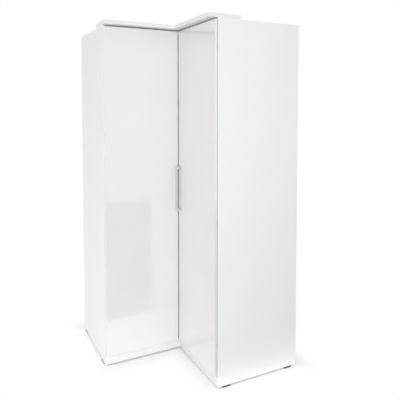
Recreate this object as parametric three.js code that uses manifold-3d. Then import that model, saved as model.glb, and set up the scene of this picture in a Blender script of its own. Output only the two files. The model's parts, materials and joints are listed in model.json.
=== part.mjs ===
// A free-standing corner wardrobe: two wings at right angles, joined behind a re-entrant corner,
// closed by two tall leaves that meet at that corner and open together on one handle.
// Millimetres, +Z up. The origin is on the floor, under the middle of the square plan. The two
// walls of the room are at +X and +Y, and the doors look towards -X and -Y.

import * as THREE from 'three';
import { mergeVertices } from 'three/addons/utils/BufferGeometryUtils.js';
import Module from 'manifold-3d';

const wasm = await Module();
wasm.setup();

// Whole wardrobe
const WIDTH = 1120; // along either wall
const DEPTH = 585; // of either wing, back to carcass front
const PANEL_HEIGHT = 2200; // of the uprights
const BOARD = 16; // every carcass board
const OVERRUN = 5; // what a cutter runs past the face that it enters
const SEAT_GAP = 0.3; // between pieces that are only laid or pushed together

// Feet
const FOOT_HEIGHT = 10;
const FOOT_LENGTH = 60;
const FOOT_WIDTH = 16;
const FOOT_INSET = 33; // from the front or back edge of the panel above

// Cornice
const CORNICE_THICK = 25;
const CORNICE_OVERHANG = 65; // past the carcass front
const CORNICE_WIDTH = 221; // front edge to back edge

// Plinth, back sheets and rear post
const PLINTH_HEIGHT = 60;
const BACK_SHEET = 3;
const REBATE = 8; // how far a back sheet is let into an end panel
const POST = 60; // square rear post

// Leaves
const LEAF_THICK = 16;
const LEAF_GAP = 3; // between a leaf and the carcass front
const LEAF_INSET = 3; // from the outer face of the end panel
const LEAF_LAP = 2; // below the underside of the floor board
const LEAF_TOP_GAP = 9; // under the cornice
const LEAF_EDGE_RADIUS = 1;
const CORNER_GAP = 2.5; // from a leaf's free end to the corner hinge's axis

// Corner hinge between the leaves
const KNUCKLE_RADIUS = 2.2;
const KNUCKLE_BORE = 1.2;
const CORNER_PIN_RADIUS = 1;
const KNUCKLE_PITCH = 62;
const CORNER_HINGE_INSET = 10; // least distance from its ends to the ends of the leaves
const KNUCKLE_PLAY = 0.4; // endwise, between neighbouring knuckles
const FLAP_THICK = 0.8;
const FLAP_WIDTH = 13;
const FLAP_RELIEF = 0.4; // from a flap's cut-back edge to the other flap's knuckle

// Handle
const HANDLE_PITCH = 288; // between its screws
const HANDLE_LEG = 20; // height of a leg
const HANDLE_WIDTH = 10;
const HANDLE_BAR = 8; // thickness of the bar
const HANDLE_PROUD = 36; // from the leaf to the outside of the bar
const HANDLE_SETBACK = 41; // from the inner corner
const HANDLE_RISE = 1140; // centre above the floor
const HANDLE_OUTER_RADIUS = 9;
const HANDLE_INNER_RADIUS = 4;
const HANDLE_SCREW_RADIUS = 2;
const HANDLE_HOLE_RADIUS = 2.4;
const HANDLE_SCREW_BITE = 9; // length of thread in the leg
const HANDLE_HEAD_RADIUS = 4.5;
const HANDLE_HEAD_HEIGHT = 2.4;

// Concealed hinges of the right leaf
const HINGE_COUNT = 4;
const HINGE_END_MARGIN = 110; // from the end of the leaf to the nearest hinge
const CUP_RADIUS = 17.5;
const CUP_WALL = 0.8;
const CUP_DEPTH = 11.5;
const CUP_TO_EDGE = 22; // cup centre to the leaf's outer edge
const CUP_CLEARANCE = 0.1;
const RIM_THICK = 1;
const RIM_RADIUS = 18.8;
const EAR_LENGTH = 62;
const EAR_WIDTH = 14;
const LINK_PIVOT_ALONG = 24; // link pivot, from the end panel's outer face
const LINK_PIVOT_BEHIND = 12; // link pivot, behind the leaf's face
const LINK_TIP_ALONG = 37.5;
const LINK_TIP_BEHIND = 9.4;
const LINK_EYE_RADIUS = 2.2;
const LINK_TIP_RADIUS = 1.1;
const LINK_WIDTH = 12;
const LINK_PIN_RADIUS = 0.9;
const NOSE_RADIUS = 2;
const NOSE_BORE = 1.2;
const NOSE_WIDTH = 8;
const NOSE_REACH = 4.6; // slot in the link, from the pivot
const NOSE_ROOT = 8; // where the nose leaves the arm, behind the carcass front
const ARM_LENGTH = 62;
const ARM_HEIGHT = 9; // off its plate
const ARM_WIDTH = 13;
const ARM_WALL = 1.5;
const PLATE_THICK = 2.5;
const PLATE_LINE = 37; // hole line, behind the carcass front
const PLATE_WIDTH = 18;
const PLATE_LENGTH = 50;

// Magnetic catch for the left leaf
const CATCH_LENGTH = 46;
const CATCH_WIDTH = 14;
const CATCH_REACH = 26;
const CATCH_RISE = 1140;
const STRIKE_THICK = 1;
const STRIKE_LENGTH = 40;

// Shelves
const HAT_SPACE = 298; // from the hat shelves up to the top boards
const FIXED_SHELF_SPACE = 734; // from the floor board up to the fixed shelf
const LOW_SHELF_SPACE = 344; // from the floor board up to the low adjustable shelf
const HIGH_SHELF_SPACE = 464; // from the fixed shelf up to the high adjustable shelf
const SHELF_SETBACK = 20; // behind the carcass front
const TOP_SETBACK = 20; // of the top boards, which leaves a dark slot over the leaves
const SHELF_SIDE_PLAY = 1;
const SHELF_BACK_PLAY = 10;

// Shelf pins and their rows of holes
const PIN_RADIUS = 2.4;
const PIN_HOLE_RADIUS = 2.6;
const PIN_HOLE_DEPTH = 10;
const PIN_LENGTH = 8;
const PIN_TAB_LENGTH = 9;
const PIN_TAB_WIDTH = 10;
const PIN_TAB_THICK = 4;
const PIN_ROW_INSET = 37; // from the front edge, and from the back of the shelf
const PIN_ROW_PITCH = 32;
const PIN_ROW_HALF_COUNT = 2;

// Clothes rail
const RAIL_HEIGHT = 30;
const RAIL_THICK = 15;
const RAIL_WALL = 1.2;
const RAIL_DROP = 48; // hat shelf underside to rail centre
const RAIL_END_GAP = 57; // from the rail's far end to the back sheet
const COLLAR_WALL = 2;
const COLLAR_LENGTH = 10;
const FLANGE_THICK = 3;
const FLANGE_MARGIN = 8;
const HANGER_WIDTH = 22;
const HANGER_PLATE = 46;

// Facets
const ROUND_STEPS = 24;
const SMALL_STEPS = 12;
const CORNER_STEPS = 4;

// Levels and planes that follow
const FRONT = WIDTH - DEPTH; // plane of both carcass fronts
const FACE = FRONT - LEAF_GAP - LEAF_THICK; // plane of both leaves' faces
const BACK = WIDTH - BACK_SHEET; // where the back sheets begin
const FLOOR_BOARD_Z = FOOT_HEIGHT + PLINTH_HEIGHT;
const CARCASS_TOP = FOOT_HEIGHT + PANEL_HEIGHT;
const TOP_BOARD_Z = CARCASS_TOP - BOARD;
const LEAF_BOTTOM = FLOOR_BOARD_Z - LEAF_LAP;
const LEAF_TOP = CARCASS_TOP - LEAF_TOP_GAP;
const LEAF_HEIGHT = LEAF_TOP - LEAF_BOTTOM;
const LEAF_END = FACE - CORNER_GAP; // free end of either leaf
const KNUCKLE_COUNT = Math.floor((LEAF_HEIGHT - 2 * CORNER_HINGE_INSET) / KNUCKLE_PITCH);
const PARTITION_X = FRONT - BOARD; // left face of the partition
const HAT_SHELF_RISE = TOP_BOARD_Z - HAT_SPACE - BOARD;
const FIXED_SHELF_RISE = FLOOR_BOARD_Z + BOARD + FIXED_SHELF_SPACE;
const SHELF_RISES = [
  FLOOR_BOARD_Z + BOARD + LOW_SHELF_SPACE,
  FIXED_SHELF_RISE + BOARD + HIGH_SHELF_SPACE,
];
const RAIL_X = (FRONT + BACK) / 2;
const RAIL_Z = HAT_SHELF_RISE - RAIL_DROP;
const RAIL_END = BACK - RAIL_END_GAP;

const finish = (color, roughness, metalness) => () =>
  new THREE.MeshStandardMaterial({ color, roughness, metalness });
const whiteBoard = finish(0xf1f1ef, 0.55, 0);
const whiteGloss = finish(0xf3f0ef, 0.08, 0);
const backSheet = finish(0xe9e8e4, 0.7, 0);
const blackPlastic = finish(0x2e2e30, 0.6, 0);
const whitePlastic = finish(0xe6e6e4, 0.5, 0);
const satinMetal = finish(0xb9bbbd, 0.35, 0.9);
const nickel = finish(0xa8a9ab, 0.3, 0.95);
const darkSteel = finish(0x4a4846, 0.45, 0.85);

// The wardrobe's plan has its origin at the outer corner of the notch between the wings.
const plan = new THREE.Group();
plan.position.set(-WIDTH / 2, -WIDTH / 2, 0);

function place(name, geometry, material) {
  const mesh = new THREE.Mesh(geometry, material());
  mesh.name = name;
  plan.add(mesh);
}

// A geometry as a solid that can be cut and joined.
function solid(geometry) {
  const bare = geometry.index ? geometry.toNonIndexed() : geometry.clone();
  bare.deleteAttribute('normal');
  bare.deleteAttribute('uv');
  const merged = mergeVertices(bare);
  return new wasm.Manifold(new wasm.Mesh({
    numProp: 3,
    vertProperties: new Float32Array(merged.attributes.position.array),
    triVerts: new Uint32Array(merged.index.array),
  }));
}

function geometryOf(manifold) {
  const mesh = manifold.getMesh();
  const geometry = new THREE.BufferGeometry();
  geometry.setAttribute('position', new THREE.BufferAttribute(mesh.vertProperties, mesh.numProp));
  geometry.setIndex(new THREE.BufferAttribute(mesh.triVerts, 1));
  return geometry.toNonIndexed();
}

// A block between two corners.
function block(x0, x1, y0, y1, z0, z1) {
  const geometry = new THREE.BoxGeometry(x1 - x0, y1 - y0, z1 - z0);
  geometry.translate((x0 + x1) / 2, (y0 + y1) / 2, (z0 + z1) / 2);
  return geometry;
}

// A plan outline raised from z0 to z1.
function raised(outline, z0, z1, steps = SMALL_STEPS) {
  const geometry = new THREE.ExtrudeGeometry(outline, {
    depth: z1 - z0, bevelEnabled: false, curveSegments: steps,
  });
  geometry.translate(0, 0, z0);
  return geometry;
}

function polygon(points) {
  return new THREE.Shape(points.map(([x, y]) => new THREE.Vector2(x, y)));
}

function disc(x, y, radius) {
  return new THREE.Shape().absarc(x, y, radius, 0, 2 * Math.PI);
}

// A rectangle with round corners.
function roundedRectangle(x0, x1, y0, y1, radius) {
  const outline = new THREE.Shape();
  outline.absarc(x1 - radius, y0 + radius, radius, -Math.PI / 2, 0);
  outline.absarc(x1 - radius, y1 - radius, radius, 0, Math.PI / 2);
  outline.absarc(x0 + radius, y1 - radius, radius, Math.PI / 2, Math.PI);
  outline.absarc(x0 + radius, y0 + radius, radius, Math.PI, 3 * Math.PI / 2);
  return outline;
}

// A round bar along X, Y or Z, from one end to the other.
function bar(axis, radius, from, to, steps = SMALL_STEPS) {
  const ends = [new THREE.Vector3(...from), new THREE.Vector3(...to)];
  const geometry = new THREE.CylinderGeometry(radius, radius, ends[0].distanceTo(ends[1]), steps);
  if (axis === 'x') geometry.rotateZ(-Math.PI / 2);
  if (axis === 'z') geometry.rotateX(Math.PI / 2);
  const middle = ends[0].add(ends[1]).divideScalar(2);
  geometry.translate(middle.x, middle.y, middle.z);
  return geometry;
}

// The heights of the holes round one adjustable shelf: the pin's own and a few each way.
function rowHeights(rise) {
  const heights = [];
  for (let step = -PIN_ROW_HALF_COUNT; step <= PIN_ROW_HALF_COUNT; step += 1) {
    heights.push(rise - PIN_TAB_THICK / 2 + step * PIN_ROW_PITCH);
  }
  return heights;
}

const ROW_DEPTHS = [FRONT + SHELF_SETBACK + PIN_ROW_INSET, BACK - SHELF_BACK_PLAY - PIN_ROW_INSET];

// Bores the rows of pin holes that open at x = mouth and run towards `inward`.
function drillRows(upright, mouth, inward) {
  let result = upright;
  for (const rise of SHELF_RISES) {
    for (const z of rowHeights(rise)) {
      for (const y of ROW_DEPTHS) {
        const from = [mouth - inward * OVERRUN, y, z];
        const to = [mouth + inward * PIN_HOLE_DEPTH, y, z];
        result = result.subtract(solid(bar('x', PIN_HOLE_RADIUS, from, to)));
      }
    }
  }
  return result;
}

// End panels: a rebate along the inner rear edge takes the back sheet.
function buildEndPanels() {
  const left = polygon([
    [0, FRONT], [BOARD, FRONT], [BOARD, BACK], [REBATE, BACK], [REBATE, WIDTH], [0, WIDTH],
  ]);
  const leftPanel = drillRows(solid(raised(left, FOOT_HEIGHT, CARCASS_TOP)), BOARD, -1);
  place('left_end_panel', geometryOf(leftPanel), whiteBoard);
  const right = polygon([
    [FRONT, 0], [WIDTH, 0], [WIDTH, REBATE], [BACK, REBATE], [BACK, BOARD], [FRONT, BOARD],
  ]);
  place('right_end_panel', raised(right, FOOT_HEIGHT, CARCASS_TOP), whiteBoard);
}

// The upright behind the inner corner, which both wings' boards butt against.
function buildPartition() {
  const upright = solid(block(PARTITION_X, FRONT, FRONT, BACK, FOOT_HEIGHT, CARCASS_TOP));
  place('partition_panel', geometryOf(drillRows(upright, PARTITION_X, 1)), whiteBoard);
}

// Outline of a right-wing board: from its front edge to the walls, less the rear post's corner.
function rightWingOutline(front) {
  const post = BACK - POST;
  return polygon([
    [front, BOARD], [BACK, BOARD], [BACK, post], [post, post], [post, BACK], [FRONT, BACK],
    [FRONT, front], [front, front],
  ]);
}

// Floor boards lie on the plinth, top boards close the uprights behind the leaves' upper edges.
function buildFloorAndTop() {
  for (const [name, front, z] of [
    ['bottom', FRONT, FLOOR_BOARD_Z],
    ['top', FRONT + TOP_SETBACK, TOP_BOARD_Z],
  ]) {
    place(`${name}_board_left`, block(BOARD, PARTITION_X, front, BACK, z, z + BOARD), whiteBoard);
    place(`${name}_board_right`, raised(rightWingOutline(front), z, z + BOARD), whiteBoard);
  }
}

// Plinth strips carry the floor boards' front edges, flush with the carcass front.
function buildPlinth() {
  const back = FRONT + BOARD;
  place('plinth_left', block(BOARD, PARTITION_X, FRONT, back, FOOT_HEIGHT, FLOOR_BOARD_Z), whiteBoard);
  place('plinth_right', block(FRONT, back, BOARD, back, FOOT_HEIGHT, FLOOR_BOARD_Z), whiteBoard);
}

// Thin back sheets, two to a wall, and the square post where the walls meet.
function buildBack() {
  const bottom = FLOOR_BOARD_Z;
  const seam = PARTITION_X + BOARD / 2;
  place('back_sheet_left_wing', block(REBATE, seam, BACK, WIDTH, bottom, CARCASS_TOP), backSheet);
  place('back_sheet_corner_left', block(seam, BACK, BACK, WIDTH, bottom, CARCASS_TOP), backSheet);
  place('back_sheet_corner_right', block(BACK, WIDTH, seam, WIDTH, bottom, CARCASS_TOP), backSheet);
  place('back_sheet_right_wing', block(BACK, WIDTH, REBATE, seam, bottom, CARCASS_TOP), backSheet);
  const post = roundedRectangle(BACK - POST, BACK, BACK - POST, BACK, LEAF_EDGE_RADIUS);
  place('rear_corner_post', raised(post, FOOT_HEIGHT, CARCASS_TOP, CORNER_STEPS), whiteBoard);
}

// The cornice is laid on top: two boards mitred from the inner corner to the outer one.
function buildCornice() {
  const lip = FRONT - CORNICE_OVERHANG;
  const rear = lip + CORNICE_WIDTH;
  const top = CARCASS_TOP + CORNICE_THICK;
  const left = polygon([[0, lip], [lip, lip], [rear, rear], [0, rear]]);
  const right = polygon([[lip, 0], [rear, 0], [rear, rear], [lip, lip]]);
  place('cornice_left', raised(left, CARCASS_TOP, top), whiteBoard);
  place('cornice_right', raised(right, CARCASS_TOP, top), whiteBoard);
}

// A glide along a panel's edge: a flat bar with round ends.
function glide(x0, x1, y0, y1) {
  const radius = Math.min(x1 - x0, y1 - y0) / 2;
  return raised(roundedRectangle(x0, x1, y0, y1, radius), 0, FOOT_HEIGHT, CORNER_STEPS);
}

function buildFeet() {
  const near = FRONT + FOOT_INSET;
  const far = WIDTH - FOOT_INSET - FOOT_LENGTH;
  for (const [name, start] of [['front', near], ['rear', far]]) {
    place(`foot_left_${name}`, glide(0, FOOT_WIDTH, start, start + FOOT_LENGTH), blackPlastic);
    place(`foot_right_${name}`, glide(start, start + FOOT_LENGTH, 0, FOOT_WIDTH), blackPlastic);
  }
  const middle = PARTITION_X + BOARD / 2;
  place('foot_partition', glide(middle - FOOT_WIDTH / 2, middle + FOOT_WIDTH / 2,
    near, near + FOOT_LENGTH), blackPlastic);
  place('foot_rear_corner', glide(BACK - POST, BACK, BACK - POST, BACK - POST + FOOT_WIDTH), blackPlastic);
}

// Shelves: the hat shelf spans the hanging space, the rest fill the left wing.
function buildShelves() {
  const front = FRONT + SHELF_SETBACK;
  place('hat_shelf_right', raised(rightWingOutline(front), HAT_SHELF_RISE, HAT_SHELF_RISE + BOARD),
    whiteBoard);
  for (const [name, rise] of [['hat_shelf_left', HAT_SHELF_RISE], ['fixed_shelf', FIXED_SHELF_RISE]]) {
    place(name, block(BOARD, PARTITION_X, front, BACK, rise, rise + BOARD), whiteBoard);
  }
  SHELF_RISES.forEach((rise, index) => {
    const x0 = BOARD + SHELF_SIDE_PLAY;
    const x1 = PARTITION_X - SHELF_SIDE_PLAY;
    place(`adjustable_shelf_${index + 1}`,
      block(x0, x1, front, BACK - SHELF_BACK_PLAY, rise, rise + BOARD), whiteBoard);
  });
}

// A shelf pin: a round stem in the upright and a flat tab under the shelf.
function shelfPin(mouth, outward, y, rise) {
  const z = rise - PIN_TAB_THICK / 2;
  const stem = bar('x', PIN_RADIUS, [mouth - outward * PIN_LENGTH, y, z],
    [mouth + outward * PIN_TAB_LENGTH / 2, y, z]);
  const ends = [mouth, mouth + outward * PIN_TAB_LENGTH].sort((a, b) => a - b);
  const tab = block(ends[0], ends[1], y - PIN_TAB_WIDTH / 2, y + PIN_TAB_WIDTH / 2,
    rise - PIN_TAB_THICK, rise);
  const head = solid(tab);
  const above = block(ends[0] - PIN_TAB_LENGTH, ends[1] + PIN_TAB_LENGTH, y - PIN_TAB_WIDTH,
    y + PIN_TAB_WIDTH, rise, rise + PIN_TAB_WIDTH);
  return geometryOf(head.add(solid(stem)).subtract(solid(above)));
}

function buildShelfPins() {
  SHELF_RISES.forEach((rise, index) => {
    ROW_DEPTHS.forEach((y, row) => {
      const end = row === 0 ? 'front' : 'rear';
      place(`shelf_pin_${index + 1}_left_${end}`, shelfPin(BOARD, 1, y, rise), nickel);
      place(`shelf_pin_${index + 1}_right_${end}`, shelfPin(PARTITION_X, -1, y, rise), nickel);
    });
  });
}

// An upright oval in the X-Z plane, pushed along Y.
function ovalAlongY(height, thick, y0, y1, holeHeight = 0, holeThick = 0) {
  const oval = (h, t, Kind) => {
    const outline = new Kind();
    outline.absarc(0, h / 2 - t / 2, t / 2, 0, Math.PI);
    outline.absarc(0, t / 2 - h / 2, t / 2, Math.PI, 2 * Math.PI);
    return outline;
  };
  const outline = oval(height, thick, THREE.Shape);
  if (holeHeight > 0) outline.holes.push(oval(holeHeight, holeThick, THREE.Path));
  const geometry = raised(outline, 0, y1 - y0);
  geometry.rotateX(Math.PI / 2);
  geometry.translate(RAIL_X, y1, RAIL_Z);
  return geometry;
}

// The oval rail hangs clothes along the right wing: a flange holds one end, a hanger the other.
function buildRail() {
  const start = BOARD + FLANGE_THICK + SEAT_GAP;
  place('clothes_rail', ovalAlongY(RAIL_HEIGHT, RAIL_THICK, start, RAIL_END,
    RAIL_HEIGHT - 2 * RAIL_WALL, RAIL_THICK - 2 * RAIL_WALL), satinMetal);
  const boreHeight = RAIL_HEIGHT + 2 * SEAT_GAP;
  const boreThick = RAIL_THICK + 2 * SEAT_GAP;
  const collar = (y0) => solid(ovalAlongY(boreHeight + 2 * COLLAR_WALL, boreThick + 2 * COLLAR_WALL,
    y0, y0 + COLLAR_LENGTH, boreHeight, boreThick));
  const flange = solid(ovalAlongY(boreHeight + 2 * FLANGE_MARGIN, boreThick + 2 * FLANGE_MARGIN,
    BOARD, BOARD + FLANGE_THICK));
  const rooted = solid(ovalAlongY(boreHeight + 2 * COLLAR_WALL, boreThick + 2 * COLLAR_WALL,
    BOARD + FLANGE_THICK / 2, BOARD + FLANGE_THICK + COLLAR_LENGTH));
  const socketBore = solid(ovalAlongY(boreHeight, boreThick, BOARD + FLANGE_THICK,
    BOARD + FLANGE_THICK + COLLAR_LENGTH + OVERRUN));
  place('rail_flange', geometryOf(flange.add(rooted).subtract(socketBore)), nickel);
  const ringStart = RAIL_END - COLLAR_LENGTH;
  const stemTop = HAT_SHELF_RISE;
  const stem = solid(block(RAIL_X - HANGER_WIDTH / 2, RAIL_X + HANGER_WIDTH / 2,
    ringStart, RAIL_END, RAIL_Z + boreHeight / 2 + COLLAR_WALL / 2, stemTop));
  const plate = solid(block(RAIL_X - HANGER_PLATE / 2, RAIL_X + HANGER_PLATE / 2,
    ringStart - COLLAR_LENGTH / 2, RAIL_END + COLLAR_LENGTH / 2, stemTop - FLANGE_THICK, stemTop));
  place('rail_hanger', geometryOf(collar(ringStart).add(stem).add(plate)), nickel);
}

// Heights of the concealed hinges, evenly spread up the leaf.
function hingeHeights() {
  const first = LEAF_BOTTOM + HINGE_END_MARGIN;
  const spread = LEAF_HEIGHT - 2 * HINGE_END_MARGIN;
  return Array.from({ length: HINGE_COUNT }, (_, index) => first + spread * index / (HINGE_COUNT - 1));
}

const CUP_Y = LEAF_INSET + CUP_TO_EDGE;
const LEAF_BACK = FACE + LEAF_THICK;
const HANDLE_Y = FACE - HANDLE_SETBACK;
const handleHeights = [HANDLE_RISE - HANDLE_PITCH / 2, HANDLE_RISE + HANDLE_PITCH / 2];

// The right leaf hangs on the right end panel: four cup bores behind, two handle holes through.
function buildRightLeaf() {
  const outline = roundedRectangle(FACE, LEAF_BACK, LEAF_INSET, LEAF_END, LEAF_EDGE_RADIUS);
  let leaf = solid(raised(outline, LEAF_BOTTOM, LEAF_TOP, CORNER_STEPS));
  for (const z of hingeHeights()) {
    const floor = LEAF_BACK - CUP_DEPTH - CUP_CLEARANCE;
    leaf = leaf.subtract(solid(bar('x', CUP_RADIUS + CUP_CLEARANCE, [floor, CUP_Y, z],
      [LEAF_BACK + OVERRUN, CUP_Y, z], ROUND_STEPS)));
  }
  for (const z of handleHeights) {
    leaf = leaf.subtract(solid(bar('x', HANDLE_HOLE_RADIUS, [FACE - OVERRUN, HANDLE_Y, z],
      [LEAF_BACK + OVERRUN, HANDLE_Y, z])));
  }
  place('right_door_leaf', geometryOf(leaf), whiteGloss);
}

// The left leaf hangs on the right one and closes over the left end panel.
function buildLeftLeaf() {
  const outline = roundedRectangle(LEAF_INSET, LEAF_END, FACE, LEAF_BACK, LEAF_EDGE_RADIUS);
  place('left_door_leaf', raised(outline, LEAF_BOTTOM, LEAF_TOP, CORNER_STEPS), whiteGloss);
}

// The bow handle, drawn from the side: two legs and a bar, round at the outer corners.
function handleOutline() {
  const half = HANDLE_PITCH / 2 + HANDLE_LEG / 2;
  const inside = HANDLE_PITCH / 2 - HANDLE_LEG / 2;
  const reach = HANDLE_PROUD;
  const under = HANDLE_PROUD - HANDLE_BAR;
  const outer = HANDLE_OUTER_RADIUS;
  const inner = HANDLE_INNER_RADIUS;
  const outline = new THREE.Shape();
  outline.moveTo(0, -half);
  outline.absarc(reach - outer, -half + outer, outer, -Math.PI / 2, 0);
  outline.absarc(reach - outer, half - outer, outer, 0, Math.PI / 2);
  outline.lineTo(0, half);
  outline.lineTo(0, inside);
  outline.absarc(under - inner, inside - inner, inner, Math.PI / 2, 0, true);
  outline.absarc(under - inner, inner - inside, inner, 0, -Math.PI / 2, true);
  outline.lineTo(0, -inside);
  return outline;
}

function buildHandle() {
  const bow = raised(handleOutline(), -HANDLE_WIDTH / 2, HANDLE_WIDTH / 2, CORNER_STEPS);
  // Drawn reach points away from the leaf and drawn height up the door.
  bow.rotateX(Math.PI / 2);
  bow.rotateZ(Math.PI);
  bow.translate(FACE, HANDLE_Y, HANDLE_RISE);
  let handle = solid(bow);
  for (const z of handleHeights) {
    handle = handle.subtract(solid(bar('x', HANDLE_HOLE_RADIUS,
      [FACE - HANDLE_SCREW_BITE - SEAT_GAP, HANDLE_Y, z], [FACE + OVERRUN, HANDLE_Y, z])));
  }
  place('handle_bow', geometryOf(handle), satinMetal);
  handleHeights.forEach((z, index) => {
    const shank = solid(bar('x', HANDLE_SCREW_RADIUS, [FACE - HANDLE_SCREW_BITE, HANDLE_Y, z],
      [LEAF_BACK + HANDLE_HEAD_HEIGHT / 2, HANDLE_Y, z]));
    const head = solid(bar('x', HANDLE_HEAD_RADIUS, [LEAF_BACK, HANDLE_Y, z],
      [LEAF_BACK + HANDLE_HEAD_HEIGHT, HANDLE_Y, z]));
    place(`handle_screw_${index + 1}`, geometryOf(shank.add(head)), nickel);
  });
}

// A hinge cup: pressed steel, let into the back of the leaf, with a rim and two screw ears.
function hingeCup(z) {
  const ears = solid(raised(roundedRectangle(CUP_Y - EAR_WIDTH / 2, CUP_Y + EAR_WIDTH / 2,
    z - EAR_LENGTH / 2, z + EAR_LENGTH / 2, EAR_WIDTH / 2), 0, RIM_THICK, CORNER_STEPS)
    .applyMatrix4(new THREE.Matrix4().set(0, 0, 1, LEAF_BACK, 1, 0, 0, 0, 0, 1, 0, 0, 0, 0, 0, 1)));
  const rim = solid(bar('x', RIM_RADIUS, [LEAF_BACK, CUP_Y, z], [LEAF_BACK + RIM_THICK, CUP_Y, z],
    ROUND_STEPS));
  const shell = solid(bar('x', CUP_RADIUS, [LEAF_BACK - CUP_DEPTH, CUP_Y, z],
    [LEAF_BACK + RIM_THICK / 2, CUP_Y, z], ROUND_STEPS));
  const hollow = solid(bar('x', CUP_RADIUS - CUP_WALL, [LEAF_BACK - CUP_DEPTH + CUP_WALL, CUP_Y, z],
    [LEAF_BACK + RIM_THICK + OVERRUN, CUP_Y, z], ROUND_STEPS));
  return geometryOf(ears.add(rim).add(shell).subtract(hollow));
}

const PIVOT_X = FACE + LINK_PIVOT_BEHIND;
const PIVOT_Y = LINK_PIVOT_ALONG;

// The link swings on the arm's nose and reaches into the cup.
function hingeLink(z) {
  const tipX = FACE + LINK_TIP_BEHIND;
  const tipY = LINK_TIP_ALONG;
  const length = Math.hypot(tipX - PIVOT_X, tipY - PIVOT_Y);
  const heading = Math.atan2(tipY - PIVOT_Y, tipX - PIVOT_X);
  const flare = Math.acos((LINK_EYE_RADIUS - LINK_TIP_RADIUS) / length);
  const outline = new THREE.Shape();
  outline.absarc(PIVOT_X, PIVOT_Y, LINK_EYE_RADIUS, heading + flare, heading - flare + 2 * Math.PI);
  outline.absarc(tipX, tipY, LINK_TIP_RADIUS, heading - flare, heading + flare);
  const plate = solid(raised(outline, z - LINK_WIDTH / 2, z + LINK_WIDTH / 2, CORNER_STEPS));
  const slotHalf = NOSE_WIDTH / 2 + SEAT_GAP;
  const slot = solid(bar('z', NOSE_REACH, [PIVOT_X, PIVOT_Y, z - slotHalf],
    [PIVOT_X, PIVOT_Y, z + slotHalf]));
  const pin = solid(bar('z', LINK_PIN_RADIUS, [PIVOT_X, PIVOT_Y, z - LINK_WIDTH / 2],
    [PIVOT_X, PIVOT_Y, z + LINK_WIDTH / 2]));
  return geometryOf(plate.subtract(slot).add(pin));
}

// The arm: a channel clipped on its mounting plate, narrowing to the nose that carries the link.
function hingeArm(z) {
  const seat = BOARD;
  const line = FRONT + PLATE_LINE;
  const plate = solid(block(line - PLATE_WIDTH / 2, line + PLATE_WIDTH / 2, seat, seat + PLATE_THICK,
    z - PLATE_LENGTH / 2, z + PLATE_LENGTH / 2));
  const armStart = FRONT + NOSE_ROOT;
  const armTop = seat + PLATE_THICK + ARM_HEIGHT;
  const body = solid(block(armStart, armStart + ARM_LENGTH, seat + PLATE_THICK / 2, armTop,
    z - ARM_WIDTH / 2, z + ARM_WIDTH / 2));
  const channel = solid(block(armStart + ARM_WALL, armStart + ARM_LENGTH + OVERRUN,
    seat + PLATE_THICK, armTop - ARM_WALL, z - ARM_WIDTH / 2 + ARM_WALL,
    z + ARM_WIDTH / 2 - ARM_WALL));
  const nose = new THREE.Shape();
  nose.absarc(PIVOT_X, PIVOT_Y, NOSE_RADIUS, Math.PI / 2, 3 * Math.PI / 2);
  nose.lineTo(armStart + ARM_WALL, PIVOT_Y - NOSE_RADIUS);
  nose.lineTo(armStart + ARM_WALL, PIVOT_Y + NOSE_RADIUS);
  const tongue = solid(raised(nose, z - NOSE_WIDTH / 2, z + NOSE_WIDTH / 2, CORNER_STEPS));
  const bore = solid(bar('z', NOSE_BORE, [PIVOT_X, PIVOT_Y, z - NOSE_WIDTH],
    [PIVOT_X, PIVOT_Y, z + NOSE_WIDTH]));
  return geometryOf(plate.add(body).subtract(channel).add(tongue).subtract(bore));
}

function buildHinges() {
  hingeHeights().forEach((z, index) => {
    place(`hinge_cup_${index + 1}`, hingeCup(z), nickel);
    place(`hinge_link_${index + 1}`, hingeLink(z), nickel);
    place(`hinge_arm_${index + 1}`, hingeArm(z), nickel);
  });
}

// Corner hinge: a long pin in knuckles that belong by turns to the two flaps. Each flap lies on
// its leaf's free end, and is cut back where the other flap's knuckles turn.
function cornerFlap(flap, cutBack, firstKept) {
  const low = LEAF_BOTTOM + (LEAF_HEIGHT - KNUCKLE_COUNT * KNUCKLE_PITCH) / 2;
  const high = low + KNUCKLE_COUNT * KNUCKLE_PITCH;
  const knuckle = solid(bar('z', KNUCKLE_RADIUS, [FACE, FACE, low], [FACE, FACE, high]));
  const bore = solid(bar('z', KNUCKLE_BORE, [FACE, FACE, low - OVERRUN], [FACE, FACE, high + OVERRUN]));
  let result = solid(flap(low, high)).add(knuckle).subtract(bore);
  for (let index = 1 - firstKept; index < KNUCKLE_COUNT; index += 2) {
    const bottom = low + index * KNUCKLE_PITCH - KNUCKLE_PLAY / 2;
    const top = bottom + KNUCKLE_PITCH + KNUCKLE_PLAY;
    result = result.subtract(solid(cutBack(index === 0 ? bottom - OVERRUN : bottom,
      index === KNUCKLE_COUNT - 1 ? top + OVERRUN : top)));
  }
  return { geometry: geometryOf(result), low, high };
}

function buildCornerHinge() {
  const inner = FACE - CORNER_GAP;
  const near = FACE - KNUCKLE_RADIUS - OVERRUN;
  const relief = FACE + KNUCKLE_RADIUS + FLAP_RELIEF;
  const left = cornerFlap(
    (low, high) => block(inner, inner + FLAP_THICK, FACE, FACE + FLAP_WIDTH, low, high),
    (low, high) => block(near, relief, near, relief, low, high), 0);
  const right = cornerFlap(
    (low, high) => block(FACE, FACE + FLAP_WIDTH, inner, inner + FLAP_THICK, low, high),
    (low, high) => block(near, relief, near, relief, low, high), 1);
  place('corner_hinge_left_flap', left.geometry, darkSteel);
  place('corner_hinge_right_flap', right.geometry, darkSteel);
  place('corner_hinge_pin', bar('z', CORNER_PIN_RADIUS, [FACE, FACE, left.low],
    [FACE, FACE, left.high]), darkSteel);
}

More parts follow.
